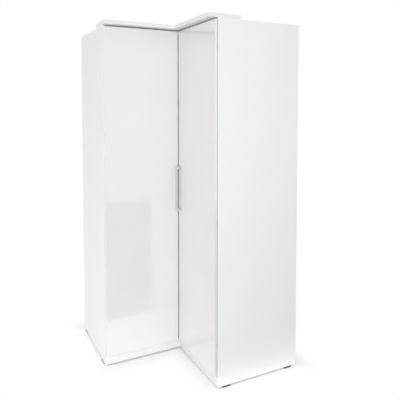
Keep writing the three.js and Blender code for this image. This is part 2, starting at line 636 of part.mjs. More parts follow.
// A magnet on the left end panel holds the left leaf's free edge by a plate behind the leaf.
function buildCatch() {
  const strikeBack = LEAF_BACK + STRIKE_THICK;
  place('catch_strike', block(BOARD + SEAT_GAP, BOARD + CATCH_WIDTH, LEAF_BACK, strikeBack,
    CATCH_RISE - STRIKE_LENGTH / 2, CATCH_RISE + STRIKE_LENGTH / 2), nickel);
  place('magnet_catch', block(BOARD, BOARD + CATCH_WIDTH, strikeBack + SEAT_GAP,
    strikeBack + SEAT_GAP + CATCH_REACH, CATCH_RISE - CATCH_LENGTH / 2,
    CATCH_RISE + CATCH_LENGTH / 2), whitePlastic);
}

buildEndPanels();
buildPartition();
buildFloorAndTop();
buildPlinth();
buildBack();
buildCornice();
buildFeet();
buildShelves();
buildShelfPins();
buildRail();
buildRightLeaf();
buildLeftLeaf();
buildHandle();
buildHinges();
buildCornerHinge();
buildCatch();

const wardrobe = new THREE.Group();
wardrobe.add(plan);

export default wardrobe;
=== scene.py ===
import json
import math

import bmesh
import bpy
from mathutils import Matrix, Vector


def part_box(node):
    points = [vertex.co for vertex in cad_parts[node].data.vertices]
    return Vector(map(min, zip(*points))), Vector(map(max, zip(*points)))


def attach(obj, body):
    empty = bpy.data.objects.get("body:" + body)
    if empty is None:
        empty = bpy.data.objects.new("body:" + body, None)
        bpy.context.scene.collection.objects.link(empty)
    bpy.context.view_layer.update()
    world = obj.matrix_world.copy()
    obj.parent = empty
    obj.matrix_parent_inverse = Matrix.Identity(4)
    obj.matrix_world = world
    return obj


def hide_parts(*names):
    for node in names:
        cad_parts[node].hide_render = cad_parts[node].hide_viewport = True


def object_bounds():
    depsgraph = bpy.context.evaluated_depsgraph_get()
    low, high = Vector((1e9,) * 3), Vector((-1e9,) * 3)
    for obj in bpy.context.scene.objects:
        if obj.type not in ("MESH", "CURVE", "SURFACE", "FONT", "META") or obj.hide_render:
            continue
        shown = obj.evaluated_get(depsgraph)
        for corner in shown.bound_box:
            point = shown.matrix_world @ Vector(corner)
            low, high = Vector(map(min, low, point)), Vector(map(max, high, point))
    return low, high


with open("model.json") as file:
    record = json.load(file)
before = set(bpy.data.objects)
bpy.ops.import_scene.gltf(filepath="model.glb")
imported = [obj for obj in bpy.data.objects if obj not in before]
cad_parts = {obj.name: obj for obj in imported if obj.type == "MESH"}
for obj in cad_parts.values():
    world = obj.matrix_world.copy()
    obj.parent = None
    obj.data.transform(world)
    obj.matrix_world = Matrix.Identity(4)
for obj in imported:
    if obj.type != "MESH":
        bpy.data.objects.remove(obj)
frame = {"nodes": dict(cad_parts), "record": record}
cad_low, cad_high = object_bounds()
MM = 0.001

# Studio: a white floor that runs out to nothing, seen from standing height by a camera to the left
# of the wardrobe's middle. Its lens is shifted far down and tilted only a little, so that the
# uprights stay nearly upright.
scene = bpy.context.scene
scene.view_settings.view_transform = "Standard"


def linear(hex_colour):
    """An opaque colour written as sRGB hex, as the linear values that a shader takes."""
    values = [int(hex_colour[i:i + 2], 16) / 255 for i in (1, 3, 5)]
    return [v / 12.92 if v <= 0.04045 else ((v + 0.055) / 1.055) ** 2.4 for v in values] + [1.0]


def add_node(tree, kind, settings=None, values=None, links=None):
    """Adds one node: its settings, the values of its inputs, and what is linked to them."""
    node = tree.nodes.new(kind)
    for key, value in (settings or {}).items():
        setattr(node, key, value)
    for key, value in (values or {}).items():
        node.inputs[key].default_value = value
    for key, output in (links or {}).items():
        tree.links.new(output, node.inputs[key])
    return node


CAMERA_TURN_DEG = -26.21
CAMERA_TILT_DEG = -2.72
CAMERA_ROLL_DEG = -0.06
camera_data = bpy.data.cameras.new("photograph")
camera_data.sensor_width = 36
camera_data.lens = 41.28
camera_data.shift_x = 0.0209
camera_data.shift_y = -0.1776
camera_data.clip_end = 60
camera = bpy.data.objects.new("photograph", camera_data)
camera.location = (-1.3437, -2.8906, 1.6918)
turn = (Matrix.Rotation(math.radians(CAMERA_TURN_DEG), 3, "Z")
        @ Matrix.Rotation(math.radians(90 + CAMERA_TILT_DEG), 3, "X")
        @ Matrix.Rotation(math.radians(CAMERA_ROLL_DEG), 3, "Z"))
camera.rotation_euler = turn.to_euler()
scene.collection.objects.link(camera)
scene.camera = camera


def rays_that_see(tree):
    """1 for a ray that shows what lies behind the wardrobe: to the eye, in gloss or through glass."""
    path = add_node(tree, "ShaderNodeLightPath")
    eye_or_gloss = add_node(tree, "ShaderNodeMath", {"operation": "MAXIMUM"}, links={
        0: path.outputs["Is Camera Ray"], 1: path.outputs["Is Glossy Ray"]})
    return add_node(tree, "ShaderNodeMath", {"operation": "MAXIMUM"}, links={
        0: eye_or_gloss.outputs[0], 1: path.outputs["Is Transmission Ray"]}).outputs[0]


# The world is plain white to the rays that see it. Its light falls from overhead and fades to
# nothing at the horizon, as under a wide pale ceiling.
CEILING_STRENGTH = 1.29
world = bpy.data.worlds.new("white_studio")
scene.world = world
world.use_nodes = True
tree = world.node_tree
tree.nodes.clear()
direction = add_node(tree, "ShaderNodeTexCoord").outputs["Generated"]
upward = add_node(tree, "ShaderNodeSeparateXYZ", links={0: direction}).outputs["Z"]
from_ceiling = add_node(tree, "ShaderNodeMapRange", values={"To Max": CEILING_STRENGTH}, links={
    "Value": upward})
lighting = add_node(tree, "ShaderNodeBackground", values={"Color": linear("#ffffff")}, links={
    "Strength": from_ceiling.outputs[0]})
backdrop = add_node(tree, "ShaderNodeBackground", values={"Color": linear("#ffffff"), "Strength": 1.0})
all_rays = add_node(tree, "ShaderNodeMixShader", links={
    0: rays_that_see(tree), 1: lighting.outputs[0], 2: backdrop.outputs[0]})
add_node(tree, "ShaderNodeOutputWorld", links={"Surface": all_rays.outputs[0]})

# A white podium lies under the wardrobe and a hand's breadth in front of it. Past its edge the
# light bounces off a grey studio floor, which turns pale again beyond the camera. Gloss mirrors
# that grey towards the right only, and white to the left of it.
FLOOR_REACH = 14.0
PODIUM_EDGE = -0.68  # along Y
PODIUM_EDGE_BLUR = 0.02
GREY_END = -5.05  # along Y
GREY_END_BLUR = 0.15
GREY_SHARE_BEYOND = 0.3
MIRRORED_GREY_START = -0.40  # along X
MIRRORED_GREY_BLUR = 0.02
floor_mesh = bpy.data.meshes.new("studio_floor")
floor_mesh.from_pydata([(-FLOOR_REACH, -FLOOR_REACH, 0), (FLOOR_REACH, -FLOOR_REACH, 0),
                        (FLOOR_REACH, FLOOR_REACH, 0), (-FLOOR_REACH, FLOOR_REACH, 0)], [],
                       [(0, 1, 2, 3)])
floor = bpy.data.objects.new("studio_floor", floor_mesh)
scene.collection.objects.link(floor)

floor_paint = bpy.data.materials.new("white_studio_floor")
floor_paint.use_nodes = True
tree = floor_paint.node_tree
tree.nodes.clear()
path = add_node(tree, "ShaderNodeLightPath")
place = add_node(tree, "ShaderNodeTexCoord")
axes = add_node(tree, "ShaderNodeSeparateXYZ", links={0: place.outputs["Object"]})
past_podium = add_node(tree, "ShaderNodeMapRange", values={
    "From Min": PODIUM_EDGE - PODIUM_EDGE_BLUR, "From Max": PODIUM_EDGE + PODIUM_EDGE_BLUR,
    "To Min": 1.0, "To Max": 0.0}, links={"Value": axes.outputs["Y"]})
before_end = add_node(tree, "ShaderNodeMapRange", values={
    "From Min": GREY_END - GREY_END_BLUR, "From Max": GREY_END + GREY_END_BLUR,
    "To Min": GREY_SHARE_BEYOND, "To Max": 1.0}, links={"Value": axes.outputs["Y"]})
grey_part = add_node(tree, "ShaderNodeMath", {"operation": "MULTIPLY"}, links={
    0: past_podium.outputs[0], 1: before_end.outputs[0]})
not_to_eye = add_node(tree, "ShaderNodeMath", {"operation": "SUBTRACT"}, {0: 1.0}, {
    1: path.outputs["Is Camera Ray"]})
grey_to_room = add_node(tree, "ShaderNodeMath", {"operation": "MULTIPLY"}, links={
    0: grey_part.outputs[0], 1: not_to_eye.outputs[0]})
to_the_right = add_node(tree, "ShaderNodeMapRange", values={
    "From Min": MIRRORED_GREY_START - MIRRORED_GREY_BLUR,
    "From Max": MIRRORED_GREY_START + MIRRORED_GREY_BLUR}, links={"Value": axes.outputs["X"]})
grey_in_gloss = add_node(tree, "ShaderNodeMath", {"operation": "MULTIPLY"}, links={
    0: grey_to_room.outputs[0], 1: to_the_right.outputs[0]})
not_grey = add_node(tree, "ShaderNodeMath", {"operation": "SUBTRACT"}, {0: 1.0}, {
    1: grey_in_gloss.outputs[0]})


def two_tones(tree, factor, first, second):
    """The colour that runs from first to second as factor goes from 0 to 1."""
    mix = add_node(tree, "ShaderNodeMix", {"data_type": "RGBA"}, links={"Factor": factor})
    # A mix of colours takes them at its inputs 6 and 7 and gives its result at output 2.
    mix.inputs[6].default_value = linear(first)
    mix.inputs[7].default_value = linear(second)
    return mix.outputs[2]


paint = add_node(tree, "ShaderNodeBsdfDiffuse", links={
    "Color": two_tones(tree, grey_to_room.outputs[0], "#fbfbfb", "#929292")})

# Away from the wardrobe the floor passes into the white behind it, wherever it isn't grey. Under
# the two wings and close to their plinths it keeps the whole of its shadow.
FADE_START = -0.03  # from the wardrobe's outline on the floor, outwards
FADE_END = 0.17
plinth_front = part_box("plinth_left")[0].y
either_side = add_node(tree, "ShaderNodeVectorMath", {"operation": "ABSOLUTE"}, links={
    0: place.outputs["Object"]})
past = add_node(tree, "ShaderNodeVectorMath", {"operation": "SUBTRACT"}, {
    1: (cad_high.x, cad_high.y, 0.0)}, {0: either_side.outputs[0]})
outside = add_node(tree, "ShaderNodeVectorMath", {"operation": "MAXIMUM"}, {
    1: (0.0, 0.0, 0.0)}, {0: past.outputs[0]})
distance = add_node(tree, "ShaderNodeVectorMath", {"operation": "LENGTH"}, links={
    0: outside.outputs[0]})
nearer_wing = add_node(tree, "ShaderNodeMath", {"operation": "MAXIMUM"}, links={
    0: axes.outputs["X"], 1: axes.outputs["Y"]})
before_plinth = add_node(tree, "ShaderNodeMath", {"operation": "SUBTRACT"}, {0: plinth_front}, {
    1: nearer_wing.outputs[0]})
clear = add_node(tree, "ShaderNodeMath", {"operation": "MAXIMUM"}, links={
    0: distance.outputs["Value"], 1: before_plinth.outputs[0]})
far = add_node(tree, "ShaderNodeMapRange", {"interpolation_type": "SMOOTHSTEP"}, {
    "From Min": FADE_START, "From Max": FADE_END}, {"Value": clear.outputs[0]})
far_and_pale = add_node(tree, "ShaderNodeMath", {"operation": "MULTIPLY"}, links={
    0: far.outputs[0], 1: not_grey.outputs[0]})
far_and_seen = add_node(tree, "ShaderNodeMath", {"operation": "MULTIPLY"}, links={
    0: far_and_pale.outputs[0], 1: rays_that_see(tree)})
white = add_node(tree, "ShaderNodeEmission", values={"Color": linear("#ffffff"), "Strength": 1.0})
both = add_node(tree, "ShaderNodeMixShader", links={
    0: far_and_seen.outputs[0], 1: paint.outputs[0], 2: white.outputs[0]})
add_node(tree, "ShaderNodeOutputMaterial", links={"Surface": both.outputs[0]})
floor_mesh.materials.append(floor_paint)

# Two broad soft lamps: one behind the camera, one far to the left. Both look at the wardrobe's
# middle, and neither shows as a bright disc in the doors.
LAMP_SIZE = 2.6
LAMP_AIM = Vector((0.0, 0.0, 1.0))
for name, spot, watts in [("front_softbox", Vector((-2.0, -4.7, 1.7)), 140),
                          ("left_softbox", Vector((-5.0, -1.0, 1.6)), 35)]:
    lamp_data = bpy.data.lights.new(name, "AREA")
    lamp_data.shape = "DISK"
    lamp_data.size = LAMP_SIZE
    lamp_data.energy = watts
    lamp = bpy.data.objects.new(name, lamp_data)
    lamp.location = spot
    lamp.rotation_euler = (LAMP_AIM - spot).to_track_quat("-Z", "Y").to_euler()
    lamp.visible_camera = False
    lamp.visible_glossy = False
    scene.collection.objects.link(lamp)

# Carcass boards: 16 mm chipboard faced with white melamine, sawn to size and closed with white
# plastic edging on the edges that show and on those that stand over a damp floor. Edges against
# the walls are left raw.
REAR = Vector((0, 1, 0))
SIDE = Vector((1, 0, 0))
FRONT = Vector((0, -1, 0))
LEFT = Vector((-1, 0, 0))
UNDER = Vector((0, 0, -1))
body_of_node = {node: body for body, nodes in frame["record"]["behaviour"]["bodies"].items()
                for node in nodes}


def surface(name):
    """A new node material: its tree, its Principled shader and its Object coordinates."""
    material = bpy.data.materials.new(name)
    material.use_nodes = True
    tree = material.node_tree
    tree.nodes.clear()
    shader = add_node(tree, "ShaderNodeBsdfPrincipled")
    add_node(tree, "ShaderNodeOutputMaterial", links={"Surface": shader.outputs[0]})
    place = add_node(tree, "ShaderNodeTexCoord").outputs["Object"]
    return material, tree, shader, place


NOISE_LOW = 0.3  # most of the noise lies between these two
NOISE_HIGH = 0.7


def mottle(tree, place, size_mm, detail, low=0.0, high=1.0):
    """Noise whose blotches are about size_mm across, spread from low to high."""
    noise = add_node(tree, "ShaderNodeTexNoise", values={
        "Scale": 1 / (size_mm * MM), "Detail": detail}, links={"Vector": place})
    return add_node(tree, "ShaderNodeMapRange", values={
        "From Min": NOISE_LOW, "From Max": NOISE_HIGH, "To Min": low, "To Max": high}, links={
        "Value": noise.outputs[0]}).outputs[0]


def tinted(tree, shader, factor, first, second):
    """The shader's colour runs from first to second as factor goes from 0 to 1."""
    tree.links.new(two_tones(tree, factor, first, second), shader.inputs["Base Color"])


def sheen(tree, shader, roughness):
    """The shader's roughness varies over the surface."""
    tree.links.new(roughness, shader.inputs["Roughness"])


def relief(tree, shader, height, depth_mm):
    """Height from 0 to 1 stands depth_mm out of the surface."""
    bump = add_node(tree, "ShaderNodeBump", values={"Strength": 1.0, "Distance": depth_mm * MM},
                    links={"Height": height})
    tree.links.new(bump.outputs[0], shader.inputs["Normal"])


# White melamine, pressed against a finely grained steel plate: a soft, slightly broken sheen.
melamine, tree, shader, place = surface("pressed_white_melamine")
tinted(tree, shader, mottle(tree, place, size_mm=180, detail=2), "#efefef", "#f0f0f0")
sheen(tree, shader, mottle(tree, place, size_mm=2.5, detail=3, low=0.36, high=0.46))
relief(tree, shader, mottle(tree, place, size_mm=1.2, detail=2), depth_mm=0.012)

# White plastic edging, a shade greyer and smoother than the faces, with faint scraper marks.
edging, tree, shader, place = surface("white_plastic_edging")
tinted(tree, shader, mottle(tree, place, size_mm=60, detail=2), "#eaeaeb", "#efefef")
sheen(tree, shader, mottle(tree, place, size_mm=4, detail=2, low=0.28, high=0.38))
relief(tree, shader, mottle(tree, place, size_mm=6, detail=1), depth_mm=0.01)

# Raw chipboard: pressed chips of pale wood, coarse and dull, on edges that nobody sees.
CHIP_MM = 2.2
chipboard, tree, shader, place = surface("raw_chipboard_edge")
chips = add_node(tree, "ShaderNodeTexVoronoi", values={"Scale": 1 / (CHIP_MM * MM)}, links={
    "Vector": place})
chip_tone = add_node(tree, "ShaderNodeSeparateColor", links={0: chips.outputs["Color"]})
tinted(tree, shader, chip_tone.outputs[0], "#a98d62", "#d9c39a")
shader.inputs["Roughness"].default_value = 0.85
relief(tree, shader, chips.outputs["Distance"], depth_mm=0.25)


def eased_copy(node, ease_mm=0.0, steps=2, sharp_deg=30, smooth=False):
    """A copy of a CAD node with its loose triangles joined up and its sharp edges eased."""
    joined_within = 0.005 * MM
    flat_within = math.radians(0.4)
    sharp_from = math.radians(sharp_deg)
    mesh = bmesh.new()
    mesh.from_mesh(frame["nodes"][node].data)
    bmesh.ops.remove_doubles(mesh, verts=mesh.verts, dist=joined_within)
    bmesh.ops.dissolve_limit(mesh, angle_limit=flat_within, verts=mesh.verts, edges=mesh.edges)
    if ease_mm:
        sharp = [edge for edge in mesh.edges if edge.calc_face_angle(0) > sharp_from]
        bmesh.ops.bevel(mesh, geom=sharp, offset=ease_mm * MM, offset_type="OFFSET", segments=steps,
                        profile=0.5, affect="EDGES", clamp_overlap=True)
    for face in mesh.faces:
        face.smooth = smooth
    for edge in mesh.edges:
        edge.smooth = edge.calc_face_angle(0) < sharp_from
    data = bpy.data.meshes.new(node + "_finished")
    mesh.to_mesh(data)
    mesh.free()
    piece = bpy.data.objects.new(node + "_finished", data)
    scene.collection.objects.link(piece)
    return piece


def settle(piece, node):
    """The piece stands for the node, which is hidden, and moves with its body."""
    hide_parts(node)
    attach(piece, body_of_node[node])


BOARD_EASE_MM = 0.6
MOSTLY = 0.7  # cosine of the angle within which a face looks along an axis
SQUARELY = 0.9  # and within which it looks straight at a side


def board(node, across, raw=(), faces=melamine, edges=edging):
    """A board whose faces look along one axis; its edges are edged, or raw towards some sides."""
    piece = eased_copy(node, ease_mm=BOARD_EASE_MM)
    for material in (faces, edges, chipboard):
        piece.data.materials.append(material)
    for face in piece.data.polygons:
        if abs(face.normal["XYZ".index(across)]) > MOSTLY:
            face.material_index = 0
        elif any(face.normal.dot(side) > SQUARELY for side in raw):
            face.material_index = 2
        else:
            face.material_index = 1
    settle(piece, node)


board("left_end_panel", "X", raw=[REAR])
board("right_end_panel", "Y", raw=[SIDE])
board("partition_panel", "X", raw=[REAR])
for wing in ("left", "right"):
    board(f"bottom_board_{wing}", "Z", raw=[REAR, SIDE])
    board(f"top_board_{wing}", "Z", raw=[REAR, SIDE])

# Plinths: strips of the same board between the wings' ends, set back behind the leaves.
# Plinth melamine: the same facing a shade duller, and painted a shade greyer as painted shade for the
# strips set back under the leaves.
plinth_melamine_painted_shade, tree, shader, place = surface("dulled_melamine_painted_shade")
# The greyer pair of tones here is painted shade under the leaves.
tinted(tree, shader, mottle(tree, place, size_mm=70, detail=3), "#e5e5e5", "#e8e8e8")
sheen(tree, shader, mottle(tree, place, size_mm=5, detail=3, low=0.42, high=0.54))
relief(tree, shader, mottle(tree, place, size_mm=1.2, detail=2), depth_mm=0.012)
board("plinth_left", "Y", raw=[SIDE], faces=plinth_melamine_painted_shade)
board("plinth_right", "X", raw=[REAR], faces=plinth_melamine_painted_shade)

# Rear post: a square of the same board, squared up round the room's corner, where both wings'
# boards and back sheets end. It is white on every side.
board("rear_corner_post", "X")

# Cornice: two 25 mm boards laid on the carcass and mitred over the inner corner, edged all round.
# Thick plastic edging: a 2 mm strip, a shade duller than the thin one, and painted a shade greyer as
# painted shade for the dimmer light along the wardrobe's top.
cornice_edging_painted_shade, tree, shader, place = surface("thick_edging_painted_shade")
# The greyer pair of tones here is painted shade for the top of the wardrobe.
tinted(tree, shader, mottle(tree, place, size_mm=60, detail=2), "#e6e6e7", "#eaeaea")
sheen(tree, shader, mottle(tree, place, size_mm=4, detail=2, low=0.34, high=0.44))
relief(tree, shader, mottle(tree, place, size_mm=6, detail=1), depth_mm=0.01)
for wing in ("left", "right"):
    board(f"cornice_{wing}", "Z", edges=cornice_edging_painted_shade)

# Shelves: the same 16 mm board, edged along the front. Three are fixed between the uprights, and
# two lie loose on pins.
for node in ("hat_shelf_right", "hat_shelf_left", "fixed_shelf", "adjustable_shelf_1",
             "adjustable_shelf_2"):
    board(node, "Z", raw=[REAR, SIDE])

# Back sheets: 3 mm hardboard, painted white towards the room and left brown towards the wall,
# let into the end panels and nailed all round.
# Painted hardboard: a thin white coat that shows the fibre under it.
white_hardboard, tree, shader, place = surface("painted_hardboard")
tinted(tree, shader, mottle(tree, place, size_mm=8, detail=4), "#e4e3df", "#ecebe8")
shader.inputs["Roughness"].default_value = 0.7
relief(tree, shader, mottle(tree, place, size_mm=3, detail=3), depth_mm=0.03)

# Bare hardboard: matted brown fibre, cloudy from afar and flecked close up, with a fine nap.
brown_hardboard, tree, shader, place = surface("bare_hardboard")
clouds = mottle(tree, place, size_mm=90, detail=2, high=0.3)
flecks = mottle(tree, place, size_mm=1.6, detail=3, high=0.7)
fibre = add_node(tree, "ShaderNodeMath", {"operation": "ADD"}, links={0: clouds, 1: flecks})
tinted(tree, shader, fibre.outputs[0], "#93724b", "#a78459")
shader.inputs["Roughness"].default_value = 0.8
relief(tree, shader, mottle(tree, place, size_mm=0.9, detail=2), depth_mm=0.03)

SHEET_EASE_MM = 0.4
OUTER_LAYER = 1.1 * SHEET_EASE_MM * MM  # just more than the eased edge takes
INNER_FACE = -0.5  # cosine to the outward side, below which a face is the painted one
NAIL_SINK = 0.35 * MM
NAIL_PITCH = 120 * MM
NAIL_MARGIN = 8 * MM
nail_places = []
for node, out in [("back_sheet_left_wing", REAR), ("back_sheet_corner_left", REAR),
                  ("back_sheet_corner_right", SIDE), ("back_sheet_right_wing", SIDE)]:
    piece = eased_copy(node, ease_mm=SHEET_EASE_MM)
    low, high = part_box(node)
    outward = 1 if out == REAR else 0
    along = 1 - outward
    for vertex in piece.data.vertices:
        if vertex.co[outward] > high[outward] - OUTER_LAYER:
            vertex.co[outward] -= NAIL_SINK
    piece.data.materials.append(white_hardboard)
    piece.data.materials.append(brown_hardboard)
    for face in piece.data.polygons:
        face.material_index = 1 if face.normal.dot(out) > INNER_FACE else 0
    settle(piece, node)
    count = int((high.z - low.z) / NAIL_PITCH)
    nailed_height = high.z - low.z - 2 * NAIL_MARGIN
    for edge in (low[along] + NAIL_MARGIN, high[along] - NAIL_MARGIN):
        for step in range(count + 1):
            spot = Vector((0, 0, low.z + NAIL_MARGIN + nailed_height * step / count))
            spot[outward] = high[outward] - NAIL_SINK
            spot[along] = edge
            nail_places.append((spot, out))

# Heads of nails and screws: turned from one pattern and set where each fixing stands, so that
# every head lies flat on its board. Each has a cross recess, which is too fine to see on nails.
HEAD_SIDES = 16
CROWN_SHARE = 0.72  # of the head's radius, across its flat top
RECESS_LENGTH_SHARE = 1.1  # of the head's radius
RECESS_CUTTER_SHARE = 1.2  # of the head's height; half of the cutter stands over the crown
HEAD_SUNK = 0.1 * MM  # each screw head is drawn this far into the piece that it holds


def fixing_pattern(name, material):
    """A tree that sets one head on each point, facing the way that the point's facing says."""
    tree = bpy.data.node_groups.new(name, "GeometryNodeTree")
    tree.interface.new_socket("Geometry", in_out="INPUT", socket_type="NodeSocketGeometry")
    for label in ("Head Radius", "Head Height", "Recess Width"):
        tree.interface.new_socket(label, in_out="INPUT", socket_type="NodeSocketFloat")
    tree.interface.new_socket("Geometry", in_out="OUTPUT", socket_type="NodeSocketGeometry")
    given = add_node(tree, "NodeGroupInput")
    height = given.outputs["Head Height"]
    radius = given.outputs["Head Radius"]
    width = given.outputs["Recess Width"]
    crown = add_node(tree, "ShaderNodeMath", {"operation": "MULTIPLY"}, {1: CROWN_SHARE}, {0: radius})
    head = add_node(tree, "GeometryNodeMeshCone", values={"Vertices": HEAD_SIDES}, links={
        "Radius Bottom": radius, "Radius Top": crown.outputs[0], "Depth": height})
    deep = add_node(tree, "ShaderNodeMath", {"operation": "MULTIPLY"}, {1: RECESS_CUTTER_SHARE}, {
        0: height})
    long = add_node(tree, "ShaderNodeMath", {"operation": "MULTIPLY"}, {1: RECESS_LENGTH_SHARE}, {
        0: radius})
    lift = add_node(tree, "ShaderNodeCombineXYZ", links={2: height})
    cut = add_node(tree, "GeometryNodeMeshBoolean", {"operation": "DIFFERENCE", "solver": "EXACT"}, links={
        0: head.outputs[0]})
    for first, second in ((long.outputs[0], width), (width, long.outputs[0])):
        size = add_node(tree, "ShaderNodeCombineXYZ", links={0: first, 1: second, 2: deep.outputs[0]})
        bar = add_node(tree, "GeometryNodeMeshCube", links={"Size": size.outputs[0]})
        raised = add_node(tree, "GeometryNodeTransform", links={
            "Geometry": bar.outputs[0], "Translation": lift.outputs[0]})
        tree.links.new(raised.outputs[0], cut.inputs[1])
    facing = add_node(tree, "GeometryNodeInputNamedAttribute", {"data_type": "FLOAT_VECTOR"}, {
        "Name": "facing"})
    turned = add_node(tree, "FunctionNodeAlignRotationToVector", {"axis": "Z"}, links={
        "Vector": facing.outputs[0]})
    set_out = add_node(tree, "GeometryNodeInstanceOnPoints", links={
        "Points": given.outputs["Geometry"], "Instance": cut.outputs[0], "Rotation": turned.outputs[0]})
    real = add_node(tree, "GeometryNodeRealizeInstances", links={0: set_out.outputs[0]})
    dressed = add_node(tree, "GeometryNodeSetMaterial", values={"Material": material}, links={
        "Geometry": real.outputs[0]})
    add_node(tree, "NodeGroupOutput", links={0: dressed.outputs[0]})
    return tree


# Bright nickel on pressed steel: neutral grey metal, blurred a little by the pressing.
nickel, tree, shader, place = surface("nickel_plated_steel")
tinted(tree, shader, mottle(tree, place, size_mm=25, detail=2), "#c3c1bd", "#c9c7c3")
shader.inputs["Metallic"].default_value = 1.0
sheen(tree, shader, mottle(tree, place, size_mm=9, detail=2, low=0.26, high=0.31))
relief(tree, shader, mottle(tree, place, size_mm=0.9, detail=1), depth_mm=0.002)

heads = fixing_pattern("fixing_heads", nickel)


def set_heads(name, places, body, radius_mm, height_mm, recess_mm):
    """One plain mesh of heads at the places given, on one body."""
    sizes = {"Head Radius": radius_mm * MM, "Head Height": height_mm * MM,
             "Recess Width": recess_mm * MM}
    mesh = bpy.data.meshes.new(name + "_places")
    mesh.from_pydata([spot for spot, facing in places], [], [])
    facing_attribute = mesh.attributes.new("facing", "FLOAT_VECTOR", "POINT")
    facing_attribute.data.foreach_set("vector", [v for spot, facing in places for v in facing])
    holder = bpy.data.objects.new(name + "_places", mesh)
    scene.collection.objects.link(holder)
    modifier = holder.modifiers.new("heads", "NODES")
    modifier.node_group = heads
    for item in heads.interface.items_tree:
        if item.name in sizes:
            modifier[item.identifier] = sizes[item.name]
    holder.update_tag()
    bpy.context.view_layer.update()
    evaluated = holder.evaluated_get(bpy.context.evaluated_depsgraph_get())
    plain = bpy.data.meshes.new_from_object(evaluated)
    plain.name = name
    piece = bpy.data.objects.new(name, plain)
    scene.collection.objects.link(piece)
    bpy.data.objects.remove(holder)
    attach(piece, body)


set_heads("back_sheet_nails", nail_places, "carcass",
          radius_mm=2.2, height_mm=0.3, recess_mm=0.05)

# Feet: moulded dark plastic glides with round ends, nailed under the uprights.
# Moulded polypropylene: near black, dull, with the fine spark-eroded grain of its mould.
glide_plastic, tree, shader, place = surface("moulded_dark_polypropylene")
tinted(tree, shader, mottle(tree, place, size_mm=9, detail=3), "#2b2b2d", "#3a3a3c")
sheen(tree, shader, mottle(tree, place, size_mm=2, detail=2, low=0.5, high=0.66))
relief(tree, shader, mottle(tree, place, size_mm=0.8, detail=2), depth_mm=0.02)


def in_one_finish(node, material, ease_mm=0.0, steps=2, sharp_deg=40):
    """A smoothed copy of the node that has the same finish on all its faces."""
    piece = eased_copy(node, ease_mm, steps, sharp_deg, smooth=True)
    piece.data.materials.append(material)
    settle(piece, node)


for node in ("foot_left_front", "foot_left_rear", "foot_right_front", "foot_right_rear",
             "foot_partition", "foot_rear_corner"):
    in_one_finish(node, glide_plastic, ease_mm=0.8, sharp_deg=30)

# Leaves: 16 mm fibreboard under a mirror-gloss white foil that wraps the face and the edges;
# the backs are plain white melamine, drilled for the hinge cups and the handle.
# Gloss foil: a clear hard coat over warm white, with the long shallow waves of pressed foil.
# Its coat is set above lacquer's usual index, so that the doors mirror as much as they do.
gloss_foil, tree, shader, place = surface("high_gloss_white_foil")
tinted(tree, shader, mottle(tree, place, size_mm=260, detail=2), "#e2e0e1", "#e5e3e4")
shader.inputs["Roughness"].default_value = 0.2
shader.inputs["Coat Weight"].default_value = 1.0
shader.inputs["Coat Roughness"].default_value = 0.015
shader.inputs["Coat IOR"].default_value = 1.9
relief(tree, shader, mottle(tree, place, size_mm=45, detail=1), depth_mm=0.01)
for node, out in (("left_door_leaf", FRONT), ("right_door_leaf", LEFT)):
    piece = eased_copy(node, ease_mm=0.7)
    piece.data.materials.append(gloss_foil)
    piece.data.materials.append(melamine)
    for face in piece.data.polygons:
        face.material_index = 1 if face.normal.dot(out) < -SQUARELY else 0
    settle(piece, node)

# Handle: a bow of satin metal on the right leaf, two broad legs and a slim bar, its corners
# rounded and its long edges broken, held from behind by two screws.
# Satin anodised aluminium: fine lines along the bar draw the highlight out lengthwise, and the
# oxide skin scatters a part of the light, so that the bar looks pale beside the white leaves.
SCALE_ALONG_BAR = 0.02  # the lines' pattern is 50 times as long along the bar as across it
satin, tree, shader, place = surface("satin_anodised_aluminium")
stretched = add_node(tree, "ShaderNodeMapping", values={"Scale": (1, 1, SCALE_ALONG_BAR)}, links={
    "Vector": place}).outputs[0]
lines = mottle(tree, stretched, size_mm=0.6, detail=3)
tinted(tree, shader, lines, "#d6d7d7", "#e6e6e6")
shader.inputs["Metallic"].default_value = 0.85
sheen(tree, shader, mottle(tree, stretched, size_mm=0.9, detail=2, low=0.28, high=0.4))
relief(tree, shader, lines, depth_mm=0.008)
in_one_finish("handle_bow", satin, ease_mm=1.4, steps=3)


def extent(node):
    """The lowest corner, the middle and the highest corner of a CAD node."""
    low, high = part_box(node)
    return low, (low + high) / 2, high


crown_places = []
for index in (1, 2):
    node = f"handle_screw_{index}"
    in_one_finish(node, nickel, ease_mm=0.25, sharp_deg=30)
    low, middle, high = extent(node)
    crown_places.append((Vector((high.x - HEAD_SUNK, middle.y, middle.z)), SIDE))
set_heads("handle_screw_crowns", crown_places, "right_door",
          radius_mm=3.9, height_mm=0.9, recess_mm=0.9)

